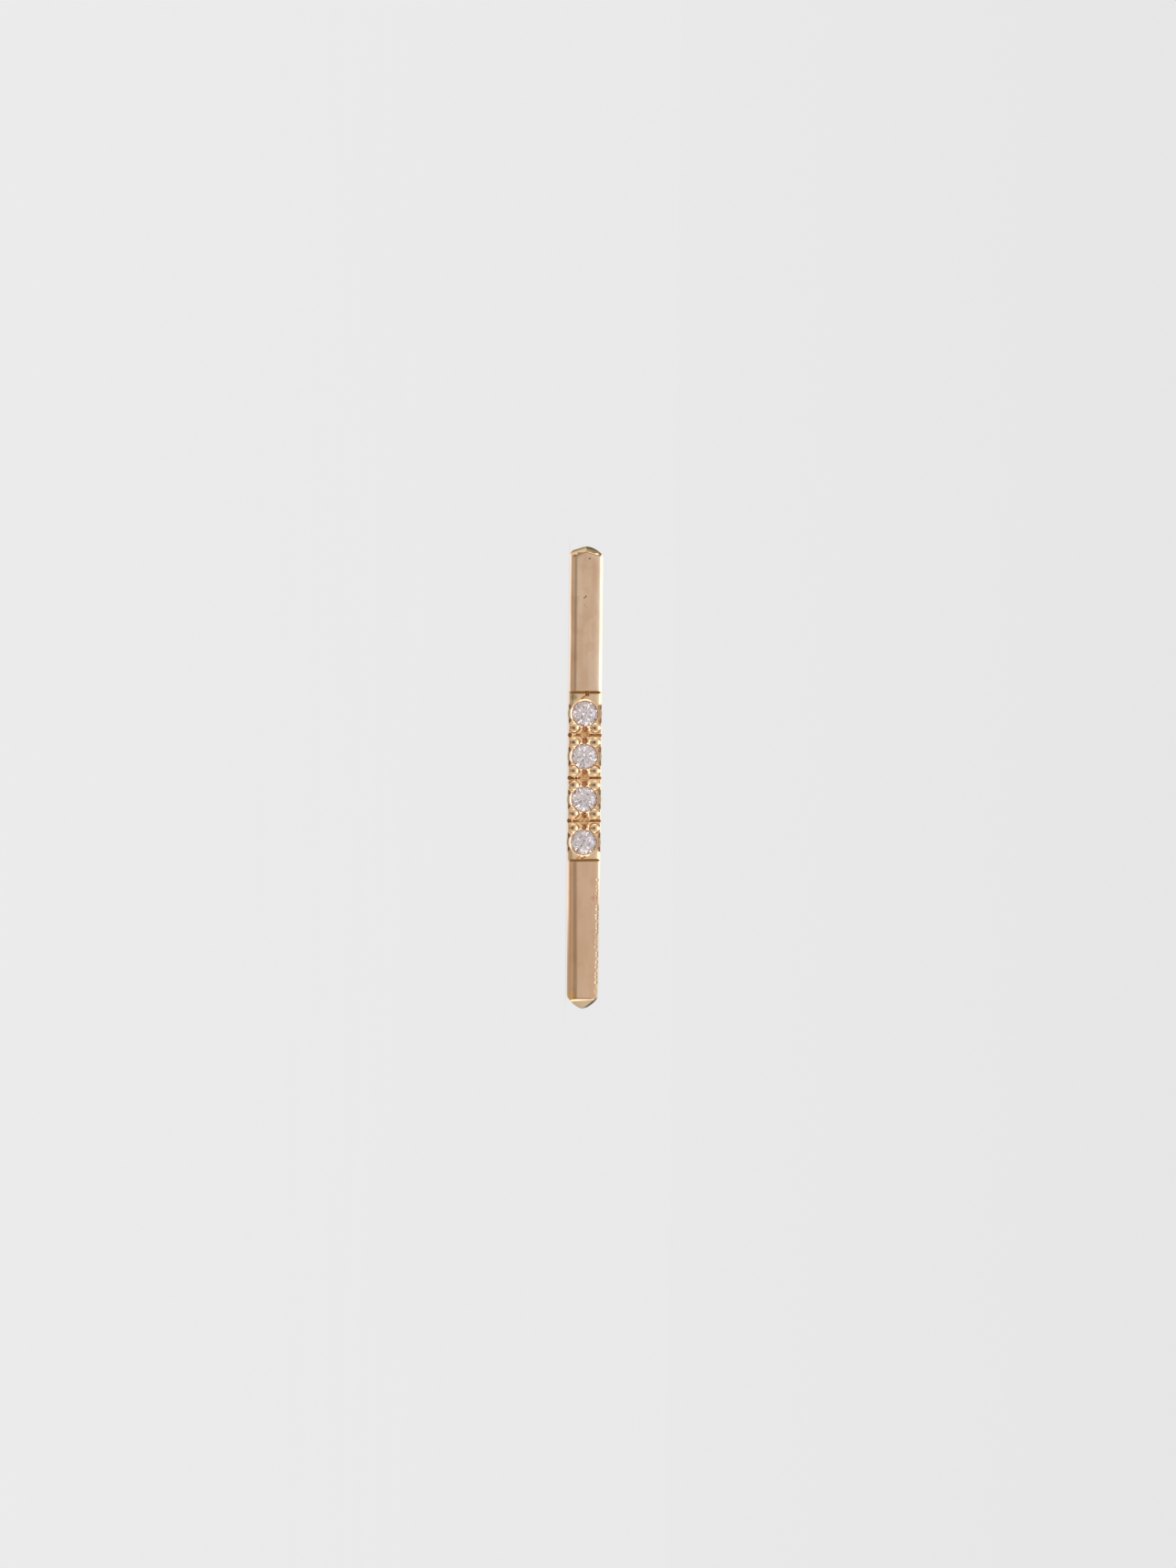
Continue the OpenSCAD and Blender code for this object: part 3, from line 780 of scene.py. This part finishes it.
def gold_layers():
    """The gold's colours, each laid over the one before: the alloy's own streaks, the engraved setting with
    painted shade, highlights and reflections, darker pits, darker edges and stains, and painted shade on the
    worn ends."""
    half = (GROOVE_X[1] - GROOVE_X[0]) / 2
    within = ("middle", half + 0.06, half + 0.03)
    not_deep = ("depth", FACE_Y + 0.6, FACE_Y + 0.42)
    inside = (within, not_deep)
    beads = (*inside, ("middle", half - 0.5, half - 0.6))
    shallow = ("depth", FACE_Y + 0.025, FACE_Y + 0.11)
    deep = ("depth", FACE_Y + 0.12, FACE_Y + 0.3)
    plain = (("middle", half + 0.1, half + 0.12), ("side", 0.3, 0.28), ("along", 11.44, 11.42),
             ("along", -3.03, -3.01))
    upper_part = ("depth", FACE_Y + 0.45, FACE_Y + 0.3)
    return (
        ("paler_streaks", linear("#F7D2AE"), 1.0, ("tone", 0.3, 0.7)),
        ("redder_far_end", linear("#EEBC92"), 0.5, ("along", 2, 9)),
        ("blotches", linear("#E3B28C"), 0.35, ("blotch", 0.5, 0.7)),
        # Engraving: between the two end grooves the metal is yellower. The side walls beside the stones are
        # darkened and the hollows browner the deeper they lie: painted shade. The hollows are also duller.
        ("engraved", linear("#F5D0A6"), 1.0, *inside),
        ("walls", linear("#D6AE80"), 0.75, *inside, ("side", 0.46, 0.5)),
        ("duller_shaded_recess", linear("#E2BC8E"), 1.0, *inside, shallow),
        ("pocket", linear("#C99E6C"), 1.0, *inside, deep),
        # Paler gold at the middle of each divider: a painted highlight round the burrs.
        ("painted_centre_highlight", linear("#F8D298"), 0.9, *inside, shallow, ("centre", 0.2, 0.08)),
        # Orange-brown in the channel between the beads: painted shade, tinted like light bounced between gold
        # walls.
        ("painted_channel_shade", linear("#D48A52"), 0.9, *inside, shallow, ("channel", 0.15, 0.08)),
        ("end_grooves", linear("#DCBF9C"), 1.0, ("middle", half + 0.07, half + 0.05),
         ("middle", half - 0.07, half - 0.05), not_deep),
        # Painted shade in and round the slanting cut beside the first stone.
        ("slanting_cut_shade", linear("#CBAA80"), 1.0, *inside, shallow, ("slanting_cut_shade", 0.2, 0.15)),
        # Painted shade along the graver's line across each divider.
        ("divider_line_shade", linear("#C59C6E"), 0.8, *inside, shallow, ("divider", 0.055, 0.03),
         ("side", 0.12, 0.17)),
        # Painted shade round the knob holes on the lower side.
        ("knobs", linear("#A07044"), 0.85, *beads, ("knob", 0.1, 0.05), ("up", -0.3, -0.35)),
        # Painted shade on the beads' domes.
        ("painted_bead_shading", linear("#C9A684"), 0.6, *beads, ("bead", 0.14, 0.08)),
        # A painted dark reflection in the middle of each bead.
        ("painted_bead_reflections", linear("#8D6547"), 0.85, *beads, ("bead_heart", 0.065, 0.025)),
        # Painted shade in the notches of the walls.
        ("painted_notch_shade", linear("#8A5C34"), 0.85, *inside, ("notch", 0.12, 0.06)),
        # An olive patch of painted shade by the first groove.
        ("painted_olive_shade", linear("#8C7A50"), 0.6, ("shade", 0.15, 0.05)),
        # Pits are coloured darker, inside the plain faces only.
        ("pits", linear("#957D69"), 1.0, *plain, ("depth", FACE_Y + 0.009, FACE_Y + 0.02), upper_part),
        # Darker long edges towards the far end, a paler orange patch in its lower corner, a reddish tarnish
        # speck and a greyer strip along the upper edge.
        ("darker_edges", linear("#AA865A"), 1.0, ("depth", FACE_Y + 0.05, FACE_Y + 0.1), upper_part,
         ("along", 8, 10.5), ("along", 11.47, 11.43)),
        ("paler_orange_patch", linear("#FAC07E"), 0.8, ("orange_patch_place", 0.18, 0.08)),
        ("reddish_speck", linear("#D78A72"), 0.45, ("speck", 0.14, 0.02)),
        ("grey_strip", linear("#9E9177"), 0.9, ("up", 0.45, 0.48), ("along", 7, 8.8), ("along", 11.45, 11.4),
         ("depth", FACE_Y + 0.3, FACE_Y + 0.15)),
        # The worn ends: a paler lower half of the near bevel, and painted shade: dark lines where the bevels
        # start, dark rims, a dark corner and a dark line.
        ("paler_near_bevel", linear("#E6C7A2"), 0.8, ("along", -3.03, -3.07), ("up", 0.04, 0.0)),
        ("painted_near_bevel_line", linear("#94633E"), 0.6, ("near_bevel", -3.065, -3.045), ("near_bevel", -3.005, -3.025),
         ("side", 0.42, 0.38), upper_part),
        ("painted_foot_line", linear("#8A5A38"), 0.8, ("along", 11.43, 11.45), ("along", 11.485, 11.47),
         ("side", 0.34, 0.26), upper_part),
        ("painted_near_rim", linear("#8F7C58"), 0.8, ("along", -2.95, -3.0),
         ("depth", FACE_Y + 0.115, FACE_Y + 0.165), upper_part),
        # Painted shade: a dark spot in the near end's upper corner and a dark line in its lower corner.
        ("painted_corner_shade", linear("#4A4630"), 0.85, ("near_corner", 0.1, 0.05)),
        ("painted_corner_line", linear("#7A4426"), 0.8, ("corner_line", 0.07, 0.03)),
        # Painted shade along the rim at the foot.
        ("painted_foot_rim", linear("#6E5238"), 0.85, ("painted_foot_rim", 9.08, 9.12), upper_part),
    )


def diamond_material():
    """Full-cut diamond, sawn and polished on a wheel, so its facets are flat and clear with no grain."""
    material, tree = new_material("diamond_brilliant_cut")
    shader = add(tree, "ShaderNodeBsdfPrincipled", Base_Color=linear("#FBF9FD"), Roughness=0.0, IOR=2.417,
                 Transmission_Weight=1.0)
    add(tree, "ShaderNodeOutputMaterial", Surface=shader.outputs[0])
    return material


def tent_material():
    """Light tent of white cloth, bright above and dim low in front, which only polished metal and the stones'
    own faces mirror. Its brightness depends on the direction from the bar."""
    material, tree = new_material("light_tent_cloth")
    place = add(tree, "ShaderNodeTexCoord").outputs["Object"]
    way = add(tree, "ShaderNodeVectorMath", {"operation": "NORMALIZE"}, i0=place)
    axes = add(tree, "ShaderNodeSeparateXYZ", Vector=way.outputs[0])
    front = add(tree, "ShaderNodeMath", {"operation": "MULTIPLY"}, i0=axes.outputs["Y"], i1=-1.0)
    turn = add(tree, "ShaderNodeMath", {"operation": "ARCTAN2"}, i0=axes.outputs["Z"], i1=front.outputs[0])
    share = add(tree, "ShaderNodeMapRange", Value=turn.outputs[0], i1=-math.pi, i2=math.pi, i3=0.0, i4=1.0)
    ring = add(tree, "ShaderNodeValToRGB", Fac=share.outputs[0])
    # Round the bar: the angle up from straight in front, how bright the cloth is there and how cool.
    cloth_round = (
        (-180, 0.9, 0.0), (-150, 1.2, 0.06), (-125, 1.3, 0.1), (-98, 0.95, 0.08), (-75, 0.5, 0.03),
        (-55, 0.42, -0.04), (-39, 0.57, -0.06), (-25, 0.48, -0.04), (-15, 0.38, -0.03), (-8, 0.36, 0.0),
        (-4.5, 0.42, 0.0), (-2, 0.61, 0.03), (-0.6, 0.70, 0.045), (1, 0.72, 0.045), (6, 0.75, 0.05),
        (14, 0.83, 0.07), (21, 0.91, 0.1), (34, 1.05, 0.14), (50, 1.6, 0.17), (70, 2.3, 0.1),
        (110, 2.3, 0.04), (150, 1.6, 0.0), (180, 0.9, 0.0),
    )
    brightest = 2.5
    stops = []
    for angle, value, cool in cloth_round:
        tint = (value * (1 - cool), value, value * (1 + 1.6 * cool))
        stops.append(((angle + 180) / 360, (*(part / brightest for part in tint), 1)))
    set_ramp(ring.color_ramp, stops)
    # Towards the bar's two ends the cloth is evenly lit. Round each end it is plainer, with a bright band
    # in front and shade behind the bar.
    ends = add(tree, "ShaderNodeMath", {"operation": "ABSOLUTE"}, i0=axes.outputs["X"]).outputs[0]
    reads = {"end": axes.outputs["X"], "ends": ends, "depth": axes.outputs["Y"], "up": axes.outputs["Z"]}
    cloth, _ = lay_over(tree, (0.36, 0.37, 0.35, 1), reads, (
        ("near_upper", (0.15, 0.16, 0.12, 1), 1.0, ("up", -0.12, 0.12)),
        ("far", (0.26, 0.31, 0.33, 1), 1.0, ("end", -0.01, 0.01)),
        ("behind", (0.06, 0.07, 0.065, 1), 1.0, ("depth", 0.16, 0.5)),
    ))
    glow, _ = lay_over(tree, ring.outputs["Color"], reads, (
        ("even", (0.335, 0.335, 0.32, 1), 1.0, ("ends", 0.25, 0.5)),
        ("cloth", cloth, 1.0, ("ends", 0.84, 0.93)),
        ("band", (0.72, 0.74, 0.72, 1), 1.0, ("ends", 0.86, 0.92), ("depth", -0.42, -0.34),
         ("depth", -0.03, -0.08)),
    ))
    light = add(tree, "ShaderNodeEmission", Color=glow, Strength=brightest)
    add(tree, "ShaderNodeOutputMaterial", Surface=light.outputs[0])
    return material


def room_material():
    """The room as the stones' inside shows it: lilac-grey, with many small lamps, frames and dark gaps."""
    material, tree = new_material("room_in_the_stones")
    place = add(tree, "ShaderNodeTexCoord").outputs["Object"]
    way = add(tree, "ShaderNodeVectorMath", {"operation": "NORMALIZE"}, i0=place).outputs[0]
    cells = add(tree, "ShaderNodeTexVoronoi", Vector=way, Scale=7.0)
    level = add(tree, "ShaderNodeSeparateColor", Color=cells.outputs["Color"])
    ramp = add(tree, "ShaderNodeValToRGB", Fac=level.outputs[0])
    set_ramp(ramp.color_ramp, [
        (0.0, (0.10, 0.085, 0.085, 1)), (0.14, (0.19, 0.16, 0.155, 1)), (0.3, (0.28, 0.24, 0.225, 1)),
        (0.6, (0.34, 0.29, 0.275, 1)), (0.82, (0.42, 0.365, 0.35, 1)), (0.93, (0.66, 0.6, 0.58, 1)),
        (1.0, (0.85, 0.79, 0.77, 1))])
    light = add(tree, "ShaderNodeEmission", Color=ramp.outputs["Color"], Strength=2.2)
    add(tree, "ShaderNodeOutputMaterial", Surface=light.outputs[0])
    return material


def floor_material():
    """Matt white photographic board, which gives a pale even ground with a soft contact shadow. It also glows
    evenly, and a little more towards a point in front of the earring where no lamp stands: a painted pool of
    light."""
    material, tree = new_material("matt_white_board_with_painted_glow")
    place = add(tree, "ShaderNodeTexCoord").outputs["Object"]
    fibre = add(tree, "ShaderNodeTexNoise", Vector=place, Scale=1 / (4 * MM), Detail=2.0)
    colour = add(tree, "ShaderNodeMix", {"data_type": "RGBA"}, i0=fibre.outputs["Fac"],
                 i6=linear("#777777"), i7=linear("#7A7A7A"))
    board = add(tree, "ShaderNodeBsdfDiffuse", Color=colour.outputs[2])
    axes = add(tree, "ShaderNodeSeparateXYZ", Vector=place)
    # A painted pool of light: the board glows a little more towards a point in front of the earring.
    away = add(tree, "ShaderNodeMath", {"operation": "ADD"}, i0=axes.outputs["Y"], i1=GLOW_POINT_AWAY * MM)
    nearest, reach = 40 * MM, 52 * MM
    away = add(tree, "ShaderNodeMath", {"operation": "MAXIMUM"}, i0=away.outputs[0], i1=nearest)
    near = add(tree, "ShaderNodeMath", {"operation": "DIVIDE"}, i0=reach, i1=away.outputs[0])
    far_level, glow_point_share = 0.644, 0.0135
    level = add(tree, "ShaderNodeMath", {"operation": "MULTIPLY_ADD"}, i0=near.outputs[0], i1=glow_point_share,
                i2=far_level)
    fill = add(tree, "ShaderNodeEmission", Color=(1, 1, 1, 1), Strength=level.outputs[0])
    both = add(tree, "ShaderNodeAddShader", i0=board.outputs[0], i1=fill.outputs[0])
    add(tree, "ShaderNodeOutputMaterial", Surface=both.outputs[0])
    return material


def shell(name, radius, material):
    """A sphere round the earring that the camera doesn't see, and that lights no matt face."""
    bpy.ops.mesh.primitive_uv_sphere_add(segments=64, ring_count=32, radius=radius)
    sphere = placed(name)
    sphere.data.materials.append(material)
    sphere.visible_camera = False
    sphere.visible_diffuse = False
    sphere.visible_shadow = False
    return sphere


def studio():
    """Pale floor, even light for it, the tent that the metal mirrors and the room that the stones show."""
    select_none()
    bpy.ops.mesh.primitive_plane_add(size=6, location=(CENTRE_X * MM, 0, FLOOR_Z * MM))
    floor = placed("floor")
    floor.data.materials.append(floor_material())
    floor.visible_glossy = False
    floor.visible_transmission = False
    tent = shell("light_tent", radius=0.5, material=tent_material())
    tent.visible_transmission = False
    room = shell("room_in_the_stones", radius=0.45, material=room_material())
    room.visible_glossy = False

    bpy.ops.object.light_add(type="SUN", rotation=(math.radians(-35), math.radians(20), 0))
    key = bpy.context.object
    key.name = "soft_key"
    key.data.energy = 0.5
    key.data.angle = math.radians(50)
    key.visible_glossy = False
    key.visible_transmission = False


def even_room():
    """The white room round the board, a shade paler at the horizon so that it meets the board evenly."""
    world = bpy.data.worlds.new("even_white_room")
    bpy.context.scene.world = world
    world.use_nodes = True
    tree = world.node_tree
    tree.nodes.clear()
    place = add(tree, "ShaderNodeTexCoord").outputs["Generated"]
    rise = add(tree, "ShaderNodeSeparateXYZ", Vector=place)
    at_horizon, above = 0.8132, 0.7925
    shade = add(tree, "ShaderNodeMapRange", Value=rise.outputs["Z"], i1=0.0, i2=0.055, i3=at_horizon,
                i4=above)
    white = add(tree, "ShaderNodeBackground", Color=(1, 1, 1, 1), Strength=shade.outputs[0])
    add(tree, "ShaderNodeOutputWorld", Surface=white.outputs[0])


def camera():
    """Level with the bar, looking at its face, rolled so that the end near the post is up in the picture."""
    lift = math.radians(0.6)
    lean = math.radians(0.55)
    off_middle = (6.5 * PIXEL, 3.95 * PIXEL)
    target = Vector((CENTRE_X + off_middle[0], FACE_Y, off_middle[1]))
    back = Vector((0, -math.cos(lift), math.sin(lift)))
    right = Vector((0, math.sin(lift), math.cos(lift)))
    up = Vector((-1, 0, 0))
    turned_right = right * math.cos(lean) + up * math.sin(lean)
    turned_up = up * math.cos(lean) - right * math.sin(lean)
    data = bpy.data.cameras.new("camera")
    data.sensor_width = 36
    data.lens = data.sensor_width * CAMERA_AWAY / PICTURE_HEIGHT
    data.clip_start = 0.01
    data.clip_end = 20
    obj = bpy.data.objects.new("camera", data)
    bpy.context.scene.collection.objects.link(obj)
    turn = Matrix((turned_right, turned_up, back)).transposed().to_4x4()
    obj.matrix_world = Matrix.Translation((target + back * CAMERA_AWAY) * MM) @ turn
    bpy.context.scene.camera = obj


bar = gold_bar()
bar.data.materials.clear()
bar.data.materials.append(gold_material())
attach(bar, "root")
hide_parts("bar")

diamond = diamond_material()
for name in STONES:
    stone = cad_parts[name]
    stone.data.materials.clear()
    stone.data.materials.append(diamond)

studio()
even_room()
camera()
bpy.context.scene.view_settings.view_transform = "Standard"
